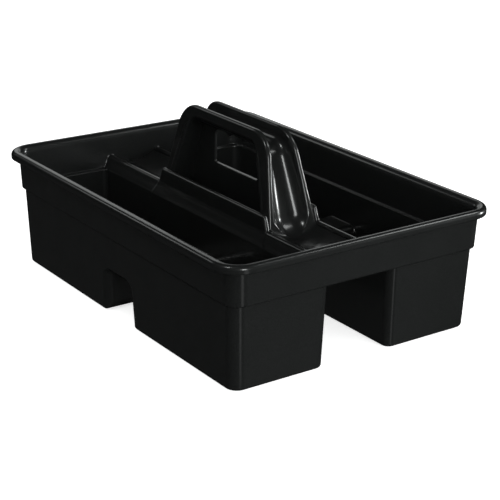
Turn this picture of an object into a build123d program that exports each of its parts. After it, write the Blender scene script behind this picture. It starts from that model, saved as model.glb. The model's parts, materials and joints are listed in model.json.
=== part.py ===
from build123d import *

import os

# Divided cleaning caddy: a two-well tub on four feet, with a handle unit screwed into its bridge.
# Millimetres, +X along the bridge (the long way), +Y across, +Z up, and the origin at the centre of
# the base, on the surface that the caddy stands on.

# Overall size
RIM_LENGTH = 406.4
RIM_WIDTH = 291.5
RIM_TOP = 117.7
HANDLE_TOP = 176.8

# Tub walls
WALL = 3.0
DRAFT = 0.034
FOOT_HALF_X = 187.4
FOOT_HALF_Y = 130.0
FOOT_CORNER = 11.8
INNER_CORNER = 8.0
FOOT_EDGE = 3.0
STEP_Z = 78.4
STEP_X = 4.0
STEP_Y = 2.7
COLLAR_CORNER = 15.0

# Rim, a lip that is turned outwards and down
BEAD_HEIGHT = 7.8
BEAD_TOP = 4.4
BEAD_ROUND = 4.0
BEAD_CORNER = 27.0
BEAD_FLARE = 5.5

# Tunnel under the bridge, and the notch across the middle of each long side
TUNNEL_HALF_BASE = 34.8
TUNNEL_HALF_TOP = 33.2
NOTCH_HALF_BASE = 22.5
NOTCH_HALF_TOP = 19.5
NOTCH_TOP = 45.0

# Bridge: two rails with round tops, raised beside the handle
RAIL_MID = 28.0
RAIL_THICK = 6.0
RAIL_TOP = 94.0
RAIL_SHELF = 0.3
LIP_LEAN = 0.8
RAIL_ROUND = 2.4
LIP_TOP = 107.6
LIP_HALF_TOP = 86.5
LIP_HALF_BASE = 92.0
ROOF = 3.0

# Handle unit
FIT = 0.2
DECK_EDGE_Z = 91.6
DECK_MID_Z = 84.6
HANDLE_HALF_TOP = 69.2
HANDLE_SLOPE = 0.265
HANDLE_CORNER = 28.0
FLANGE_HALF_TOP = 15.7
FLANGE_SPLAY = 0.129
FLANGE_THICK = 6.2
TROUGH_DEPTH = 14.6
TROUGH_CORNER = 17.0
TROUGH_FLARE = 22.0
WEB = 3.8
WEB_SLOPE = 0.34
TROUGH_ROUND = 7.0
FLANGE_ROUND = 2.8
BAR_R = 16.5
ARCH_TOP = 166.0
ARCH_CORNER = 14.0
PLATE = 3.0

# Hand hole in the centre plate, with three finger scallops along its top edge
HOLE_HALF = 35.5
HOLE_BOTTOM = 122.0
HOLE_TOP = 153.0
SCALLOPS = 3
SCALLOP_RISE = 3.0
HOLE_CORNER = 2.0

# Screws, up through the tunnel roof into bosses on the handle unit
SCREW_X = 70.0
SCREW_Y = 11.0
SHANK_R = 2.25
SHANK_LENGTH = 13.0
HEAD_R = 4.6
HEAD_HEIGHT = 2.8
HEAD_ROUND = 1.5
SHANK_POINT = 1.3
BOSS_R = 5.0
BOSS_HEIGHT = 13.0
GUSSET_REACH = 1.15
RECESS_LONG = 5.0
RECESS_WIDE = 1.2

NEAR = 0.02

# Heights and half sizes that follow from the ones above
BEAD_Z = RIM_TOP - BEAD_HEIGHT
ROOF_Z = STEP_Z + ROOF
RAIL_IN = RAIL_MID - RAIL_THICK / 2
RAIL_OUT = RAIL_MID + RAIL_THICK / 2
UNIT_HALF_Y = RAIL_IN - FIT
UNIT_BASE = ROOF_Z


def slab(x_low, x_high, y_low, y_high, corner, z):
    """Rounded rectangle lying at height z."""
    outline = RectangleRounded(x_high - x_low, y_high - y_low, corner)
    return Pos((x_low + x_high) / 2, (y_low + y_high) / 2, z) * outline


def frustum(low, high):
    """Straight-sided solid between two rounded rectangles."""
    return loft([low, high], ruled=True)


def box(x_low, x_high, y_low, y_high, z_low, z_high):
    """Box from its limits."""
    size = Box(x_high - x_low, y_high - y_low, z_high - z_low)
    return Pos((x_low + x_high) / 2, (y_low + y_high) / 2, (z_low + z_high) / 2) * size


def both_ways(solid, plane):
    """The solid and its mirror image."""
    return solid + mirror(solid, about=plane)


def foot_half(z):
    """Half length and half width of the tub below the step, at height z."""
    return FOOT_HALF_X + DRAFT * z, FOOT_HALF_Y + DRAFT * z


def collar_half(z):
    """Half length and half width of the tub above the step, at height z."""
    half_x, half_y = foot_half(z)
    return half_x + STEP_X, half_y + STEP_Y


def tunnel_half(z):
    """Half width of the tunnel at height z."""
    return TUNNEL_HALF_BASE + (TUNNEL_HALF_TOP - TUNNEL_HALF_BASE) * z / STEP_Z


def notch_half(z):
    """Half width of the side notch at height z."""
    return NOTCH_HALF_BASE + (NOTCH_HALF_TOP - NOTCH_HALF_BASE) * z / NOTCH_TOP


def well_section(z, inset, x_low, corner):
    """Section of the +Y side of the tub below the step, drawn in by the inset.

    The corner given is the one nearest to the middle on the outer side, before the inset.
    """
    half_x, half_y = foot_half(z)
    x_high, y_high = half_x - inset, half_y - inset
    y_low = tunnel_half(z) + inset
    outline = Rectangle(x_high - x_low, y_high - y_low)
    outline = fillet(outline.vertices().group_by(Axis.Y)[0], INNER_CORNER - inset)
    middle = outline.vertices().group_by(Axis.Y)[-1].sort_by(Axis.X)[0]
    outline = fillet(middle, corner - inset)
    end = outline.vertices().group_by(Axis.Y)[-1].sort_by(Axis.X)[-1]
    outline = fillet(end, FOOT_CORNER - inset)
    return Pos((x_low + x_high) / 2, (y_low + y_high) / 2, z) * outline


def lower_side(inset):
    """The +Y side of the tub below the step: two feet and the stretch that joins them."""
    floor = inset
    ceiling = NOTCH_TOP + inset
    top = STEP_Z + inset
    foot = frustum(
        well_section(floor, inset, notch_half(floor) + inset, INNER_CORNER),
        well_section(ceiling, inset, notch_half(ceiling) + inset, INNER_CORNER),
    )
    foot = fillet(foot.edges().group_by(Axis.Z)[0], FOOT_EDGE)
    joined = frustum(
        well_section(ceiling, inset, inset - foot_half(ceiling)[0], FOOT_CORNER),
        well_section(top, inset, inset - foot_half(top)[0], FOOT_CORNER),
    )
    return both_ways(foot, Plane.YZ) + joined


def collar_section(z, inset):
    """Section of the tub above the step, drawn in by the inset."""
    half_x, half_y = collar_half(z)
    return slab(inset - half_x, half_x - inset, inset - half_y, half_y - inset, COLLAR_CORNER - inset, z)


def collar(inset, top):
    """Block from the step up to the top height, drawn in by the inset."""
    return frustum(collar_section(STEP_Z + inset, inset), collar_section(top, inset))


def rim_block(inset, height, top_radius):
    """Rounded block under the rim, drawn in by the inset, with its top edge rounded."""
    half_x = RIM_LENGTH / 2 - inset
    half_y = RIM_WIDTH / 2 - inset
    outline = slab(-half_x, half_x, -half_y, half_y, BEAD_CORNER - inset, BEAD_Z)
    block = extrude(outline, height)
    return fillet(block.edges().group_by(Axis.Z)[-1], top_radius)


def rim():
    """Rim as a ring, flared at the mouth, with a gap between its skirt and the wall of the tub."""
    ring = rim_block(0, BEAD_HEIGHT, BEAD_ROUND) - collar(WALL, RIM_TOP)
    half_x, half_y = collar_half(RIM_TOP)
    mouth = [
        edge
        for edge in ring.edges().group_by(Axis.Z)[-1]
        if abs((edge @ 0.5).X) < half_x and abs((edge @ 0.5).Y) < half_y
    ]
    skirt_gap = rim_block(WALL, BEAD_HEIGHT - BEAD_TOP, BEAD_ROUND - WALL) - collar(0, RIM_TOP)
    return fillet(mouth, BEAD_FLARE) - skirt_gap


def rail(half_top, half_base, top):
    """Upright rail along the +Y side of the bridge, with a round top and sloping ends.

    Below the level of the low rail its outer face spreads out to the wall of the well under it.
    """
    foot = tunnel_half(ROOF_Z) + WALL - RAIL_SHELF
    outer = [(foot, ROOF_Z), (RAIL_OUT, RAIL_TOP)]
    if top > RAIL_TOP:
        outer.append((RAIL_OUT - LIP_LEAN, top))
    side = Polygon(
        (-half_base, ROOF_Z), (half_base, ROOF_Z), (half_top, top), (-half_top, top), align=None
    )
    section = Polygon((RAIL_IN, ROOF_Z), *outer, (RAIL_IN, top), align=None)
    solid = extrude(Plane.XZ * side, RIM_WIDTH / 2, both=True)
    solid &= extrude(Plane.YZ * section, RIM_LENGTH / 2, both=True)
    return fillet(solid.edges().filter_by(Axis.X).group_by(Axis.Z)[-1], RAIL_ROUND)


def make_tub():
    """Shell with two wells, four feet, tunnel, notches, rolled rim and bridge rails."""
    shell = collar(0, BEAD_Z) + both_ways(lower_side(0), Plane.XZ)
    shell -= both_ways(lower_side(WALL), Plane.XZ)
    end_rail = collar_half(RAIL_TOP)[0]
    rails = rail(end_rail, end_rail, RAIL_TOP) + rail(LIP_HALF_TOP, LIP_HALF_BASE, LIP_TOP)
    shell -= collar(WALL, RIM_TOP) - both_ways(rails, Plane.XZ)
    shell += rim()
    for x, y in screw_places():
        shell -= Pos(x, y, STEP_Z) * Cylinder(SHANK_R, ROOF * 3)
    return shell


def screw_places():
    """Centres of the four handle screws."""
    return [(x, y) for x in (-SCREW_X, SCREW_X) for y in (-SCREW_Y, SCREW_Y)]


def handle_half(z):
    """Half length of the handle at height z."""
    return HANDLE_HALF_TOP + HANDLE_SLOPE * (HANDLE_TOP - z)


def splayed_block(inset):
    """Endless block as wide as the handle, drawn in on both sides by the inset."""
    narrow = FLANGE_HALF_TOP - inset
    wide = narrow + FLANGE_SPLAY * (HANDLE_TOP - UNIT_BASE)
    section = Polygon(
        (-wide, UNIT_BASE), (wide, UNIT_BASE), (narrow, HANDLE_TOP), (-narrow, HANDLE_TOP), align=None
    )
    return extrude(Plane.YZ * section, RIM_LENGTH / 2, both=True)


def arch(half_low, half_high, top, corners):
    """Block bounded by an arch outline in the XZ plane, standing on the base of the unit."""
    side = [(half_low, UNIT_BASE), (half_high, top)]
    line = FilletPolyline(*side, *[(-x, z) for x, z in reversed(side)], radius=corners)
    outline = make_face(Plane.XZ * (line + Line((-half_low, UNIT_BASE), (half_low, UNIT_BASE))))
    return extrude(outline, RIM_WIDTH / 2, both=True)


def web_half(z):
    """Half length to the trough side of the legs at height z."""
    trough_top = HANDLE_TOP - TROUGH_DEPTH
    return handle_half(trough_top) - TROUGH_DEPTH + WEB_SLOPE * (trough_top - z)


def trough_core():
    """Everything under the trough floor: the bridge deck, both legs and the top of the handle."""
    trough_top = HANDLE_TOP - TROUGH_DEPTH
    end = RIM_LENGTH / 2
    side = [(end, DECK_MID_Z), (web_half(DECK_MID_Z), DECK_MID_Z), (web_half(trough_top), trough_top)]
    corners = (TROUGH_FLARE, TROUGH_CORNER, TROUGH_CORNER, TROUGH_FLARE)
    floor = FilletPolyline(*side, *[(-x, z) for x, z in reversed(side)], radius=corners)
    under = Polyline((-end, DECK_MID_Z), (-end, UNIT_BASE), (end, UNIT_BASE), (end, DECK_MID_Z))
    return extrude(make_face(Plane.XZ * (floor + under)), RIM_WIDTH / 2, both=True)


def trough():
    """The hollow between the flanges, open at the top and the ends, with rounded bottom edges."""
    core = trough_core()
    half = RIM_LENGTH / 2
    around = box(-half, half, -half, half, UNIT_BASE, HANDLE_TOP * 2)
    hollow = (around - core) & splayed_block(FLANGE_THICK)
    floor = [face for face in core.faces() if abs(face.normal_at().Y) < NEAR]
    bottom = [
        edge
        for edge in hollow.edges()
        if abs((edge @ 0.5).Y) > NEAR
        and abs((edge @ 0.5).X) < half - NEAR
        and any(face.distance_to(edge @ 0.5) < NEAR for face in floor)
        and any(face.distance_to(edge @ 0.2) < NEAR for face in floor)
    ]
    return fillet(bottom, TROUGH_ROUND)


def hand_hole():
    """Hand hole through the centre plate, with finger scallops along the top."""
    hole = box(-HOLE_HALF, HOLE_HALF, -PLATE, PLATE, HOLE_BOTTOM, HOLE_TOP)
    hole = fillet(hole.edges().filter_by(Axis.Y), HOLE_CORNER)
    half = HOLE_HALF / SCALLOPS
    radius = (half**2 + SCALLOP_RISE**2) / (2 * SCALLOP_RISE)
    for i in range(SCALLOPS):
        middle = (2 * i - SCALLOPS + 1) * half
        low, high = middle - half + NEAR, middle + half - NEAR
        across = Rot(90, 0, 0) * Cylinder(radius, 2 * PLATE)
        finger = Pos(middle, 0, HOLE_TOP + SCALLOP_RISE - radius) * across
        hole += finger & box(low, high, -PLATE, PLATE, HOLE_TOP - HOLE_CORNER, HANDLE_TOP)
    return hole


def flanges():
    """The two side plates of the handle, with rounded edges all round their outline."""
    plates = arch(handle_half(UNIT_BASE), HANDLE_HALF_TOP, HANDLE_TOP, HANDLE_CORNER)
    plates = (plates & splayed_block(0)) - splayed_block(FLANGE_THICK)
    outline = [edge for edge in plates.edges() if (edge @ 0.5).Z > UNIT_BASE + NEAR]
    return fillet(outline, FLANGE_ROUND)


def handle_grip():
    """Trough-shaped handle: two flanges joined by a web, and a thin plate across its middle."""
    half = handle_half(DECK_MID_Z)
    middle = box(-half, half, -RIM_WIDTH / 2, RIM_WIDTH / 2, UNIT_BASE, HANDLE_TOP)
    grip = (middle & splayed_block(FLANGE_THICK)) + flanges() - trough()
    leg = web_half(UNIT_BASE) - WEB
    opening = arch(leg, web_half(ARCH_TOP) - WEB, ARCH_TOP, ARCH_CORNER)
    bar_z = HANDLE_TOP - TROUGH_DEPTH - WEB + BAR_R
    opening -= Pos(0, 0, bar_z) * Rot(0, 90, 0) * Cylinder(BAR_R, RIM_LENGTH)
    opening -= box(-leg, leg, -PLATE / 2, PLATE / 2, UNIT_BASE, HANDLE_TOP)
    between_rails = box(-half * 2, half * 2, -UNIT_HALF_Y, UNIT_HALF_Y, UNIT_BASE, HANDLE_TOP)
    return (grip & between_rails) - opening - hand_hole()


def make_handle():
    """Handle unit: the grip on a saddle-shaped deck that lies between the bridge rails."""
    half_deck = collar_half(UNIT_BASE)[0] - WALL - FIT
    rise = DECK_EDGE_Z - DECK_MID_Z
    saddle_r = (UNIT_HALF_Y**2 + rise**2) / (2 * rise)
    deck = box(-half_deck, half_deck, -UNIT_HALF_Y, UNIT_HALF_Y, UNIT_BASE, DECK_EDGE_Z)
    deck -= Pos(0, 0, DECK_MID_Z + saddle_r) * Rot(0, 90, 0) * Cylinder(saddle_r, RIM_LENGTH)
    middle = web_half(UNIT_BASE) - WEB
    deck -= box(-middle, middle, -UNIT_HALF_Y, UNIT_HALF_Y, UNIT_BASE, DECK_EDGE_Z)
    unit = deck + handle_grip()
    for x, y in screw_places():
        low, high = sorted((x, x * GUSSET_REACH))
        unit += Pos(x, y, UNIT_BASE + BOSS_HEIGHT / 2) * Cylinder(BOSS_R, BOSS_HEIGHT)
        unit += box(low, high, y - PLATE / 2, y + PLATE / 2, UNIT_BASE, UNIT_BASE + BOSS_HEIGHT)
        unit -= Pos(x, y, UNIT_BASE) * Cylinder(SHANK_R, (SHANK_LENGTH - ROOF) * 2)
    return unit


def make_screw(x, y):
    """Pan-head screw with a cross recess, driven upwards."""
    head = Pos(x, y, STEP_Z - HEAD_HEIGHT / 2) * Cylinder(HEAD_R, HEAD_HEIGHT)
    head = fillet(head.edges().group_by(Axis.Z)[0], HEAD_ROUND)
    shank = Pos(x, y, STEP_Z + SHANK_LENGTH / 2) * Cylinder(SHANK_R, SHANK_LENGTH)
    screw = head + chamfer(shank.edges().group_by(Axis.Z)[-1], SHANK_POINT)
    for long_x, long_y in ((RECESS_LONG, RECESS_WIDE), (RECESS_WIDE, RECESS_LONG)):
        screw -= Pos(x, y, STEP_Z - HEAD_HEIGHT) * Box(long_x, long_y, HEAD_HEIGHT)
    return screw


if __name__ == "__main__":
    os.makedirs("parts", exist_ok=True)
    export_step(make_tub(), "parts/tub.step")
    export_step(make_handle(), "parts/handle.step")
    for number, (x, y) in enumerate(screw_places(), 1):
        export_step(make_screw(x, y), f"parts/handle_screw_{number}.step")
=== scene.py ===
import json
import math

import bpy
import numpy as np
from mathutils import Matrix, Vector

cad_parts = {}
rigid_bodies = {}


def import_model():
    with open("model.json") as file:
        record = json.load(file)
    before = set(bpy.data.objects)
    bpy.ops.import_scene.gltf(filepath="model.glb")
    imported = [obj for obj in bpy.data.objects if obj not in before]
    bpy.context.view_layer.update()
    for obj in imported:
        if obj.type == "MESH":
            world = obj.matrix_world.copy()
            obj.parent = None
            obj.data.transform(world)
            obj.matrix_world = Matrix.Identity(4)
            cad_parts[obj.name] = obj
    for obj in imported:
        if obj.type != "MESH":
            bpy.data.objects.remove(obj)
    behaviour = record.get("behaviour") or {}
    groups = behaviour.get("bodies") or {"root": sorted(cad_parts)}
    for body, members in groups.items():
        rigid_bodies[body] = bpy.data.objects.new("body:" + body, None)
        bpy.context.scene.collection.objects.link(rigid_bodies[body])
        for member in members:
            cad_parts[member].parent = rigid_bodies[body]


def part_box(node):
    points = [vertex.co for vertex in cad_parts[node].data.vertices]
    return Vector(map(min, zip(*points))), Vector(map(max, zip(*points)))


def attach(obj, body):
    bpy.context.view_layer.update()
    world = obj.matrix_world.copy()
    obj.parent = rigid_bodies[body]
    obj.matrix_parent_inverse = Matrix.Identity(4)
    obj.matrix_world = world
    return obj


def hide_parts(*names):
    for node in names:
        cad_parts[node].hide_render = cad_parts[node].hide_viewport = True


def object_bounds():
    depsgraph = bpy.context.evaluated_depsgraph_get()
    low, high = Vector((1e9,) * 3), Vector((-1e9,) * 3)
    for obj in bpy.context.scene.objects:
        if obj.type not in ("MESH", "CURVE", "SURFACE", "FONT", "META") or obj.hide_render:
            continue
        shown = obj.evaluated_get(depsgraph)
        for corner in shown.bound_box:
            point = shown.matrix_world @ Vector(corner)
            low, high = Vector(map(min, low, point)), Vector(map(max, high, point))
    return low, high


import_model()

cad_low, cad_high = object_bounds()

# Black moulded cleaning caddy. Shapes are signed distances in millimetres, negative inside, with every
# edge rounded as a mould rounds it. They are meshed in one quarter, mirrored, and scaled to metres.
MM = 0.001
RIM_X, RIM_Y = (1000 * side for side in cad_high[:2])
HANDLE_TOP = 1000 * cad_high[2]
RIM_TOP = 1000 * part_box("tub")[1].z

# Tub
WALL = 3.0
DRAFT = 0.034
FOOT_X, FOOT_Y = 187.4, 130.0
FOOT_CORNER, INNER_CORNER, FOOT_EDGE = 11.8, 8.0, 3.0
STEP_Z, STEP_X, STEP_Y = 78.4, 4.0, 2.7
STEP_EDGE, STEP_ROOT = 1.3, 0.8
COLLAR_CORNER = 15.0
ROOF_Z = STEP_Z + WALL
LEDGE_EDGE = 1.3
TUNNEL_BASE, TUNNEL_SLOPE = 34.8, -0.0204
NOTCH_BASE, NOTCH_SLOPE, NOTCH_TOP, NOTCH_ROUND = 22.5, -0.0667, 45.0, 3.0
NOTCH_CORNER_FADE, NOTCH_CORNER_LEAST, HUMP_SOFTEN = 6.0, 0.15, 1.7
WELL_FLOOR_ROUND = 5.0

# Rim
BEAD_Z = RIM_TOP - 7.8
BEAD_ROUND, BEAD_CORNER, BEAD_EDGE = 4.0, 27.0, 1.2
MOUTH_ROUND = 6.5
GAP_TOP = RIM_TOP - 4.4

# Bridge rails and lips
RAIL_IN, RAIL_OUT, SPREAD_Z, LIP_LEAN = 25.0, 31.0, 79.0, 0.06
RAIL_TOP, LIP_TOP = 94.0, 107.6
LIP_HALF, LIP_SLOPE, LIP_TILT = 86.5, 0.404, 0.37
RAIL_ROUND, RAIL_ROOT, SPREAD_SCALE = 2.6, 1.0, 0.93

# Handle unit
FIT = 0.2
DECK_Z, SADDLE_R = 84.6, 47.4
GRIP_HALF, GRIP_SLOPE, GRIP_CORNER = 69.2, 0.265, 28.0
FLANGE_HALF, FLANGE_SPLAY, FLANGE_THICK, FLANGE_ROUND = 15.7, 0.129, 6.2, 2.8
FLANGE_ROOT = 2.5
EDGE_START, EDGE_FADE, EDGE_LEAST = 9.0, 6.0, 0.01
TROUGH_TOP = HANDLE_TOP - 14.6
WEB_HALF, WEB_SLOPE, WEB, WEB_SPARE = 58.5, 0.34, 3.8, 0.4
TROUGH_CORNER, TROUGH_FLARE, TROUGH_ROUND = 17.0, 22.0, 0.8
BAR_R = 16.5
BAR_Z = TROUGH_TOP - WEB + BAR_R
ARCH_TOP, ARCH_CORNER, CREASE_ROUND = 166.0, 14.0, 3.0
PLATE_HALF, PLATE_ROOT = 1.5, 2.0

# Bosses that the screws go up into, each tied to the leg by a gusset
SCREW_X, SCREW_Y = 70.0, 11.0
BOSS_R, BOSS_TOP, BOSS_EDGE, BOSS_ROOT = 5.0, ROOF_Z + 13.0, 0.6, 1.0
GUSSET_END = 80.5

# Hand hole and its finger scallops
HOLE_HALF, HOLE_BOTTOM, HOLE_TOP, HOLE_CORNER, HOLE_EDGE = 35.5, 122.0, 153.0, 2.5, 0.9
SCALLOPS, SCALLOP_RISE = 3, 3.0

# Floor and light, in metres and degrees
FLOOR_Z = -0.0005
FLOOR_HALF = 30.0
FLOOR_COLOUR = (0.8, 0.8, 0.8)
FLOOR_GLOW = 0.9
ROOM_LIGHT = 0.8
ROOM_SEEN = 1.0
BOX_DISTANCE = 2.2
BOX_COLOUR = (0.97, 1.0, 0.99)
# Each soft box is (name, angle around Z from +X, angle up, width, height, glow, mirrored). Those with
# an angle below the level stand lower than the floor, for the reflections that they give in the walls.
SOFT_BOXES = (
    ("key", -14, 12, 0.5, 0.8, 9.0, True),
    ("fill_right", 12, 12, 1.6, 0.8, 8.0, False),
    ("strip_right", 63, 5, 0.3, 0.7, 36.0, True),
    ("wall_end", 34, -27, 0.5, 0.8, 0.05, True),
    ("wall_near", -150, -22, 2.0, 1.0, 0.02, True),
    ("back", 149, 19, 1.4, 0.8, 0.65, True),
    ("left_back", -158, 33, 0.55, 0.5, 1.3, True),
    ("corner", -6, -20, 0.5, 0.8, 0.5, True),
    ("top_right", 60, 42, 0.6, 0.5, 5.0, True),
    ("front_top", -72, 50, 0.35, 0.35, 14.0, True),
)

# Camera, in metres and degrees, with its lens in millimetres
CAMERA_PLACE = (1.06965, -0.73175, 0.52760)
CAMERA_YAW, CAMERA_PITCH, CAMERA_ROLL = 55.023, -20.532, 0.708
CAMERA_LENS = 103.27


# ---- signed distances -------------------------------------------------------------------------------


def both(a, b, r=0.0, cos=0.0):
    """Where two solids overlap, with their common edge rounded. cos is between their outward normals."""
    if np.all(np.asarray(r) == 0):
        return np.maximum(a, b)
    p, q = a + r, b + r
    corner = np.sqrt(np.maximum(p * p + q * q - 2 * p * q * cos, 0)) / math.sqrt(1 - cos * cos) - r
    return np.where((p > q * cos) & (q > p * cos), corner, np.maximum(a, b))


def either(a, b, r=0.0, cos=0.0):
    """Two solids joined, with a fillet of radius r between them."""
    return -both(-a, -b, r, cos)


def without(a, b, r=0.0):
    """Solid a with solid b cut out of it, with the edge of the cut rounded."""
    return both(a, -b, r)


def slope_side(distance, slope):
    """Distance from a sloping side, given the level distance from it."""
    return distance / math.hypot(1, slope)


def rounded_rect(x, y, half_x, half_y, corner):
    """Distance from an upright prism whose section is a rectangle with rounded corners."""
    p, q = np.abs(x) - half_x + corner, np.abs(y) - half_y + corner
    return np.hypot(np.maximum(p, 0), np.maximum(q, 0)) + np.minimum(np.maximum(p, q), 0) - corner


def collar(x, y, z, inset):
    """The tub above the step, as an endless prism drawn in by the inset."""
    half_x = FOOT_X + STEP_X + DRAFT * z - inset
    half_y = FOOT_Y + STEP_Y + DRAFT * z - inset
    return rounded_rect(x, y, half_x, half_y, COLLAR_CORNER - inset)


def lower_half(x, y, z, inset):
    """One side of the tub below the step, drawn in by the inset, with the side notch left out of it."""
    end = np.abs(x) - (FOOT_X + DRAFT * z - inset)
    side = np.abs(y) - (FOOT_Y + DRAFT * z - inset)
    tunnel = TUNNEL_BASE + TUNNEL_SLOPE * z + inset - np.abs(y)
    walls = np.maximum(both(end, side, FOOT_CORNER - inset), both(end, tunnel, INNER_CORNER - inset))
    block = both(walls, inset - z, FOOT_EDGE if inset == 0 else WELL_FLOOR_ROUND)
    notch_side = np.abs(x) - (NOTCH_BASE + NOTCH_SLOPE * z + inset)
    notch = both(notch_side, z - NOTCH_TOP - inset, NOTCH_ROUND + HUMP_SOFTEN * inset)
    below_top = (NOTCH_TOP + inset - z) / NOTCH_CORNER_FADE
    corner = np.clip(below_top, NOTCH_CORNER_LEAST, 1) * (INNER_CORNER - inset)
    return without(block, notch, corner)


def rim(x, y, z):
    """The edge of the tub, turned outwards and down, with a recess behind its skirt."""
    outline = rounded_rect(x, y, RIM_X, RIM_Y, BEAD_CORNER)
    lip = both(both(outline, z - RIM_TOP, BEAD_ROUND), BEAD_Z - z, BEAD_EDGE)
    gap = both(outline + WALL, z - GAP_TOP, BEAD_EDGE)
    return without(lip, without(gap, collar(x, y, z, 0)), BEAD_EDGE / 2)


def rails(x, y, z):
    """Rails along both sides of the bridge, raised beside the handle.

    Below the low rail, the outer face spreads smoothly out to the wall of the well.
    """
    down = np.clip((RAIL_TOP - z) / (RAIL_TOP - SPREAD_Z), 0, 1)
    well_side = TUNNEL_BASE + TUNNEL_SLOPE * z + WALL
    outer = RAIL_OUT + (well_side - RAIL_OUT) * down * down * (3 - 2 * down)
    well_face = SPREAD_SCALE * (np.abs(y) - outer + LIP_LEAN * (z - RAIL_TOP).clip(0))
    across = np.maximum(well_face, RAIL_IN - np.abs(y))
    low = both(across, z - RAIL_TOP, RAIL_ROUND)
    end = slope_side(np.abs(x) - LIP_HALF - LIP_SLOPE * (LIP_TOP - z), LIP_SLOPE)
    lip = both(across, both(end, z - LIP_TOP, RAIL_ROUND, LIP_TILT), RAIL_ROUND)
    return either(low, lip, RAIL_ROOT)


def tub(x, y, z):
    """Outer shape with its rim, less the cavity that leaves the walls, the floors and the rails."""
    upper = both(both(collar(x, y, z, 0), STEP_Z - z, STEP_EDGE), z - RIM_TOP)
    outside = either(upper, both(lower_half(x, y, z, 0), z - ROOF_Z), STEP_ROOT)
    outside = either(outside, rim(x, y, z), STEP_ROOT)
    cavity = both(collar(x, y, z, WALL), ROOF_Z - z, STEP_ROOT)
    cavity = either(cavity, both(lower_half(x, y, z, WALL), z - ROOF_Z - WALL), LEDGE_EDGE)
    cavity = without(cavity, rails(x, y, z), RAIL_ROOT)
    return without(outside, either(cavity, RIM_TOP - z, MOUTH_ROUND))


def web_side(x, z):
    """Distance from the trough side of the handle's legs."""
    return slope_side(np.abs(x) - WEB_HALF - WEB_SLOPE * (TROUGH_TOP - z), WEB_SLOPE)


def flange_side(y, z, inset):
    """Distance from the splayed sides of the handle, drawn in by the inset."""
    return slope_side(np.abs(y) - FLANGE_HALF - FLANGE_SPLAY * (HANDLE_TOP - z) + inset, FLANGE_SPLAY)


def legs(x, z, deck):
    """The handle's core between its flanges, with the deck that its legs flare out into."""
    tilt = WEB_SLOPE / math.hypot(1, WEB_SLOPE)
    core = both(web_side(x, z), z - TROUGH_TOP, TROUGH_CORNER, tilt)
    return either(core, deck, TROUGH_FLARE, tilt)


def arch_opening(x, y, z, trough):
    """The space inside the arch, on both sides of the centre plate and under the rounded bar."""
    tilt = WEB_SLOPE / math.hypot(1, WEB_SLOPE)
    space = both(web_side(x, z) + WEB, z - ARCH_TOP, ARCH_CORNER, tilt)
    space = without(space, np.hypot(y, z - BAR_Z) - BAR_R, CREASE_ROUND)
    space = without(space, trough - WEB + WEB_SPARE, CREASE_ROUND)
    return without(space, np.abs(y) - PLATE_HALF, PLATE_ROOT)


def bosses(x, y, z):
    """Posts that the screws go up into, each with a gusset towards the leg of the handle."""
    across = np.abs(y) - SCREW_Y
    post = np.hypot(np.abs(x) - SCREW_X, across) - BOSS_R
    along = np.maximum(SCREW_X - np.abs(x), np.abs(x) - GUSSET_END)
    gusset = np.maximum(np.abs(across) - PLATE_HALF, along)
    return both(either(post, gusset, BOSS_ROOT), z - BOSS_TOP, BOSS_EDGE)


def hand_hole(x, y, z):
    """Hole in the centre plate, with finger scallops along its top edge."""
    hole = both(np.abs(x) - HOLE_HALF, HOLE_BOTTOM - z, HOLE_CORNER)
    half = HOLE_HALF / SCALLOPS
    radius = (half**2 + SCALLOP_RISE**2) / (2 * SCALLOP_RISE)
    from_middle = np.abs(x) - 2 * half * np.clip(np.round(np.abs(x) / (2 * half)), 0, SCALLOPS // 2)
    scallop = np.hypot(from_middle, z - HOLE_TOP - SCALLOP_RISE + radius) - radius
    above = np.maximum(scallop, z - HOLE_TOP - SCALLOP_RISE)
    top = np.where(z < HOLE_TOP - HOLE_CORNER, z - HOLE_TOP, above)
    return np.maximum(both(hole, top, HOLE_CORNER), np.abs(y) - FLANGE_HALF / 2)


def handle_unit(x, y, z):
    """Two flanges and a trough between them, on a saddle deck that lies between the rails."""
    deck = z - DECK_Z - SADDLE_R + np.sqrt(np.maximum(SADDLE_R**2 - y * y, 0))
    end = slope_side(np.abs(x) - GRIP_HALF - GRIP_SLOPE * (HANDLE_TOP - z), GRIP_SLOPE)
    arch = both(end, z - HANDLE_TOP, GRIP_CORNER, GRIP_SLOPE / math.hypot(1, GRIP_SLOPE))
    block = both(arch, flange_side(y, z, 0), FLANGE_ROUND)
    core = legs(x, z, deck)
    unit = either(block, both(core, flange_side(y, z, 0)), FLANGE_ROOT)
    trough_half = FLANGE_HALF - FLANGE_THICK + FLANGE_SPLAY * (HANDLE_TOP - z)
    trough = without(flange_side(y, z, FLANGE_THICK), core, TROUGH_ROUND * trough_half)
    above_deck = np.clip((z - DECK_Z - EDGE_START) / EDGE_FADE, 0, 1)
    unit = without(unit, trough, FLANGE_ROUND * above_deck + EDGE_LEAST)
    unit = without(unit, arch_opening(x, y, z, trough), CREASE_ROUND)
    unit = without(unit, hand_hole(x, y, z), HOLE_EDGE)
    unit = either(unit, bosses(x, y, z), BOSS_ROOT)
    deck_end = FOOT_X + STEP_X + DRAFT * ROOF_Z - WALL - FIT
    sides = np.maximum(np.abs(y) - RAIL_IN + FIT, np.abs(x) - deck_end)
    return np.maximum(np.maximum(unit, sides), ROOF_Z - z)


# ---- meshing ----------------------------------------------------------------------------------------


# The grid starts this far below the lowest face, so that the face lies inside it.
GRID_SPARE = 0.4
NEWTON_STEPS, NEWTON_LIMIT, FLATTEST_SLOPE = 3, 0.5, 0.25


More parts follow.
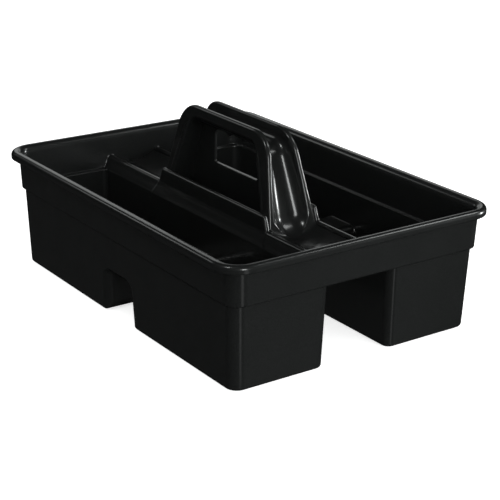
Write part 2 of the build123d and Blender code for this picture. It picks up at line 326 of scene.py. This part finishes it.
def grid_lines(middle, *stretches):
    """Grid lines along one axis, closer where the shape has detail. Each stretch is (end, step)."""
    end, step = middle
    count = round(end / step - 0.5)
    step = end / (count + 0.5)
    lines = [(np.arange(count + 1) - 0.5) * step]
    for next_end, step in stretches:
        lines.append(np.linspace(end, next_end, max(1, round((next_end - end) / step)), endpoint=False))
        end = next_end
    return np.concatenate([*lines, [end]])


def surface_net(field, lines):
    """Vertices and quads where the field is zero, from one vertex in each cell that the surface crosses."""
    shape = [len(axis) for axis in lines]
    place = [axis.reshape([-1 if i == n else 1 for i in range(3)]) for n, axis in enumerate(lines)]
    values = np.broadcast_to(field(*place), shape)
    cells = [n - 1 for n in shape]
    total, count = np.zeros((*cells, 3)), np.zeros(cells)
    edges = []
    for axis in range(3):
        low = [slice(None)] * 3
        high = [slice(None)] * 3
        low[axis], high[axis] = slice(0, -1), slice(1, None)
        a, b = values[tuple(low)], values[tuple(high)]
        at = np.argwhere((a < 0) != (b < 0))
        va, vb = a[tuple(at.T)], b[tuple(at.T)]
        point = np.stack([lines[n][at[:, n]] for n in range(3)], 1)
        gap = lines[axis][at[:, axis] + 1] - lines[axis][at[:, axis]]
        point[:, axis] += gap * va / (va - vb)
        u, v = [n for n in range(3) if n != axis]
        for du in (0, 1):
            for dv in (0, 1):
                cell = at.copy()
                cell[:, u] -= du
                cell[:, v] -= dv
                ok = np.all((cell >= 0) & (cell < cells), 1)
                np.add.at(total, tuple(cell[ok].T), point[ok])
                np.add.at(count, tuple(cell[ok].T), 1)
        inner = np.all([(at[:, n] > 0) & (at[:, n] < shape[n] - 1) for n in (u, v)], 0)
        edges.append((at[inner], va[inner] < 0, axis, u, v))
    used = count > 0
    number = np.full(cells, -1)
    number[used] = np.arange(used.sum())
    quads = []
    for at, rising, axis, u, v in edges:
        ring = []
        for du, dv in ((1, 1), (0, 1), (0, 0), (1, 0)):
            cell = at.copy()
            cell[:, u] -= du
            cell[:, v] -= dv
            ring.append(number[tuple(cell.T)])
        ring = np.stack(ring, 1)
        flip = rising == (axis == 1)
        ring[flip] = ring[flip][:, ::-1]
        quads.append(ring)
    return total[used] / count[used][:, None], np.concatenate(quads)


def slopes(field, points, step=0.02):
    """Direction in which the field grows fastest, at each point."""
    out = np.empty_like(points)
    for axis in range(3):
        shift = np.zeros(3)
        shift[axis] = step
        out[:, axis] = field(*(points + shift).T) - field(*(points - shift).T)
    return out / (2 * step)


def mould(name, field, lines, material):
    """Mesh a field that is symmetric across X and Y, with smooth normals taken from the field."""
    points, quads = surface_net(field, lines)
    for _ in range(NEWTON_STEPS):
        slope = slopes(field, points)
        length = np.maximum((slope**2).sum(1), FLATTEST_SLOPE)
        points -= np.clip(field(*points.T) / length, -NEWTON_LIMIT, NEWTON_LIMIT)[:, None] * slope
    for axis in (0, 1):
        flipped = points.copy()
        flipped[:, axis] *= -1
        quads = np.concatenate([quads, quads[:, ::-1] + len(points)])
        points = np.concatenate([points, flipped])
        keys = np.round(points, 3) + 0.0
        _, first, same = np.unique(keys, axis=0, return_index=True, return_inverse=True)
        points, quads = points[first], same.reshape(-1)[quads]
    normals = slopes(field, points)
    normals /= np.linalg.norm(normals, axis=1)[:, None]
    mesh = bpy.data.meshes.new(name)
    mesh.from_pydata((points * MM).tolist(), [], quads.tolist())
    mesh.validate()
    mesh.shade_smooth()
    mesh.normals_split_custom_set_from_vertices(normals.tolist())
    mesh.materials.append(material)
    piece = bpy.data.objects.new(name, mesh)
    bpy.context.scene.collection.objects.link(piece)
    print(name, len(points), "points", len(quads), "faces")
    return piece


TUB_LINES = (
    grid_lines((15, 1.8), (30, 1.0), (82, 5), (96, 0.9), (164, 5), (204.2, 1.1)),
    grid_lines((22, 3), (34, 0.8), (46, 1.2), (104, 5), (146.8, 1.1)),
    grid_lines((6, 0.8), (38, 4), (52, 1.1), (74, 4), (84, 0.7), (91, 1.2), (118.3, 0.8)) - GRID_SPARE,
)
HANDLE_LINES = (
    grid_lines((38, 1.6), (96, 0.9), (184, 5), (192.5, 1.0)),
    grid_lines((25.7, 0.75)),
    grid_lines((15, 0.9), (38, 1.5), (97, 0.9)) + ROOF_Z - GRID_SPARE,
)


# ---- materials, light and camera --------------------------------------------------------------------


def add_node(tree, kind, **inputs):
    """Add a node, and set or link its inputs."""
    node = tree.nodes.new(kind)
    for name, value in inputs.items():
        socket = node.inputs[name.replace("_", " ")]
        if isinstance(value, bpy.types.NodeSocket):
            tree.links.new(value, socket)
        else:
            socket.default_value = value
    return node


def ramp(tree, value, low, high, out_low, out_high):
    """Map a value from one range to another, clamped."""
    node = tree.nodes.new("ShaderNodeMapRange")
    tree.links.new(value, node.inputs["Value"])
    for name, number in (("From Min", low), ("From Max", high), ("To Min", out_low), ("To Max", out_high)):
        node.inputs[name].default_value = number
    return node.outputs["Result"]


def plastic(name, colour, roughness):
    """Moulded plastic: slightly uneven gloss, a faint ripple and a fine grain."""
    material = bpy.data.materials.new(name)
    material.use_nodes = True
    tree = material.node_tree
    shader = tree.nodes["Principled BSDF"]
    shader.inputs["Specular IOR Level"].default_value = 0.25
    shader.inputs["Coat Weight"].default_value = 1.0
    shader.inputs["Coat Roughness"].default_value = 0.17
    where = tree.nodes.new("ShaderNodeTexCoord").outputs["Object"]
    ripple = add_node(tree, "ShaderNodeTexNoise", Vector=where, Scale=22.0, Detail=1.0)
    grain = add_node(tree, "ShaderNodeTexNoise", Vector=where, Scale=900.0, Detail=2.0)
    cloud = add_node(tree, "ShaderNodeTexNoise", Vector=where, Scale=30.0, Detail=4.0)
    tree.links.new(ramp(tree, cloud.outputs["Fac"], 0.3, 0.7, *roughness), shader.inputs["Roughness"])
    mix = tree.nodes.new("ShaderNodeMix")
    mix.data_type = "RGBA"
    mix.inputs["A"].default_value = (*colour, 1)
    mix.inputs["B"].default_value = (*(1.6 * c for c in colour), 1)
    tree.links.new(ramp(tree, grain.outputs["Fac"], 0.35, 0.65, 0, 1), mix.inputs["Factor"])
    tree.links.new(mix.outputs["Result"], shader.inputs["Base Color"])
    slow = add_node(tree, "ShaderNodeBump", Height=ripple.outputs["Fac"], Strength=1.0, Distance=0.0004)
    fine = add_node(tree, "ShaderNodeBump", Height=grain.outputs["Fac"], Strength=0.5, Distance=0.00003)
    tree.links.new(slow.outputs["Normal"], fine.inputs["Normal"])
    tree.links.new(fine.outputs["Normal"], shader.inputs["Normal"])
    return material


def steel(name):
    """Zinc-plated steel with a fine grain and a slightly uneven shine."""
    material = bpy.data.materials.new(name)
    material.use_nodes = True
    tree = material.node_tree
    shader = tree.nodes["Principled BSDF"]
    shader.inputs["Metallic"].default_value = 1.0
    where = tree.nodes.new("ShaderNodeTexCoord").outputs["Object"]
    cloud = add_node(tree, "ShaderNodeTexNoise", Vector=where, Scale=300.0, Detail=3.0)
    stretched = add_node(tree, "ShaderNodeMapping", Vector=where, Scale=(400.0, 3000.0, 400.0))
    grain = add_node(tree, "ShaderNodeTexNoise", Vector=stretched.outputs["Vector"], Scale=1.0, Detail=2.0)
    tree.links.new(ramp(tree, cloud.outputs["Fac"], 0.3, 0.7, 0.28, 0.42), shader.inputs["Roughness"])
    mix = tree.nodes.new("ShaderNodeMix")
    mix.data_type = "RGBA"
    mix.inputs["A"].default_value = (0.42, 0.43, 0.44, 1)
    mix.inputs["B"].default_value = (0.62, 0.63, 0.64, 1)
    tree.links.new(grain.outputs["Fac"], mix.inputs["Factor"])
    tree.links.new(mix.outputs["Result"], shader.inputs["Base Color"])
    fine = add_node(tree, "ShaderNodeBump", Height=grain.outputs["Fac"], Strength=0.4, Distance=0.00003)
    tree.links.new(fine.outputs["Normal"], shader.inputs["Normal"])
    return material


def matte(name, colour, glow):
    """Dull even surface that also gives off light."""
    material = bpy.data.materials.new(name)
    material.use_nodes = True
    shader = material.node_tree.nodes["Principled BSDF"]
    shader.inputs["Base Color"].default_value = (*colour, 1)
    shader.inputs["Emission Color"].default_value = (*colour, 1)
    shader.inputs["Emission Strength"].default_value = glow
    shader.inputs["Roughness"].default_value = 0.9
    shader.inputs["Specular IOR Level"].default_value = 0.1
    return material


def floor():
    """Wide pale floor that gives off light of its own, and is left out of reflections and bounced light."""
    mesh = bpy.data.meshes.new("floor")
    ends = ((-1, -1), (1, -1), (1, 1), (-1, 1))
    mesh.from_pydata([(x * FLOOR_HALF, y * FLOOR_HALF, FLOOR_Z) for x, y in ends], [], [(0, 1, 2, 3)])
    mesh.materials.append(matte("floor_white", FLOOR_COLOUR, FLOOR_GLOW))
    piece = bpy.data.objects.new("floor", mesh)
    bpy.context.scene.collection.objects.link(piece)
    piece.visible_glossy = False
    piece.visible_diffuse = False


def studio():
    """Even pale room that nothing mirrors, and soft boxes, which are all that the plastic mirrors."""
    world = bpy.data.worlds.new("studio")
    bpy.context.scene.world = world
    world.use_nodes = True
    tree = world.node_tree
    room = tree.nodes["Background"]
    room.inputs["Color"].default_value = (1, 1, 1, 1)
    seen = tree.nodes.new("ShaderNodeLightPath").outputs["Is Camera Ray"]
    tree.links.new(ramp(tree, seen, 0, 1, ROOM_LIGHT, ROOM_SEEN), room.inputs["Strength"])
    world.cycles_visibility.glossy = False
    for name, turn, lift, width, height, glow, mirrored in SOFT_BOXES:
        data = bpy.data.lights.new(name, "AREA")
        data.shape = "RECTANGLE"
        data.size, data.size_y = width, height
        # An area light's watts for an even glow go with its area.
        data.energy = glow * math.pi * width * height
        data.color = BOX_COLOUR
        box = bpy.data.objects.new(name, data)
        a, b = math.radians(turn), math.radians(lift)
        away = Vector((math.cos(b) * math.cos(a), math.cos(b) * math.sin(a), math.sin(b)))
        box.matrix_world = Matrix.Translation(Vector((0, 0, 0.1)) + BOX_DISTANCE * away) @ (
            away.to_track_quat("Z", "Y").to_matrix().to_4x4()
        )
        box.visible_camera = False
        box.visible_glossy = mirrored
        bpy.context.scene.collection.objects.link(box)


def make_camera():
    data = bpy.data.cameras.new("camera")
    data.lens = CAMERA_LENS
    data.sensor_width = 36.0
    camera = bpy.data.objects.new("camera", data)
    yaw, pitch, roll = (math.radians(a) for a in (CAMERA_YAW, CAMERA_PITCH, CAMERA_ROLL))
    turn = Matrix.Rotation(yaw, 4, "Z") @ Matrix.Rotation(math.pi / 2 + pitch, 4, "X")
    camera.matrix_world = Matrix.Translation(CAMERA_PLACE) @ turn @ Matrix.Rotation(roll, 4, "Z")
    bpy.context.scene.collection.objects.link(camera)
    bpy.context.scene.camera = camera


BLACK = (0.005, 0.0054, 0.0053)
black = plastic("black_plastic", BLACK, (0.34, 0.42))
tub_piece = mould("tub_shell", tub, TUB_LINES, black)
handle_piece = mould("handle_shell", handle_unit, HANDLE_LINES, black)
for piece, node in ((tub_piece, "tub"), (handle_piece, "handle")):
    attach(piece, "root")
    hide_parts(node)
zinc = steel("zinc_steel")
for number in range(1, 5):
    screw = bpy.data.objects[f"handle_screw_{number}"]
    screw.data.materials.clear()
    screw.data.materials.append(zinc)
floor()
studio()
make_camera()
bpy.context.scene.view_settings.view_transform = "Standard"
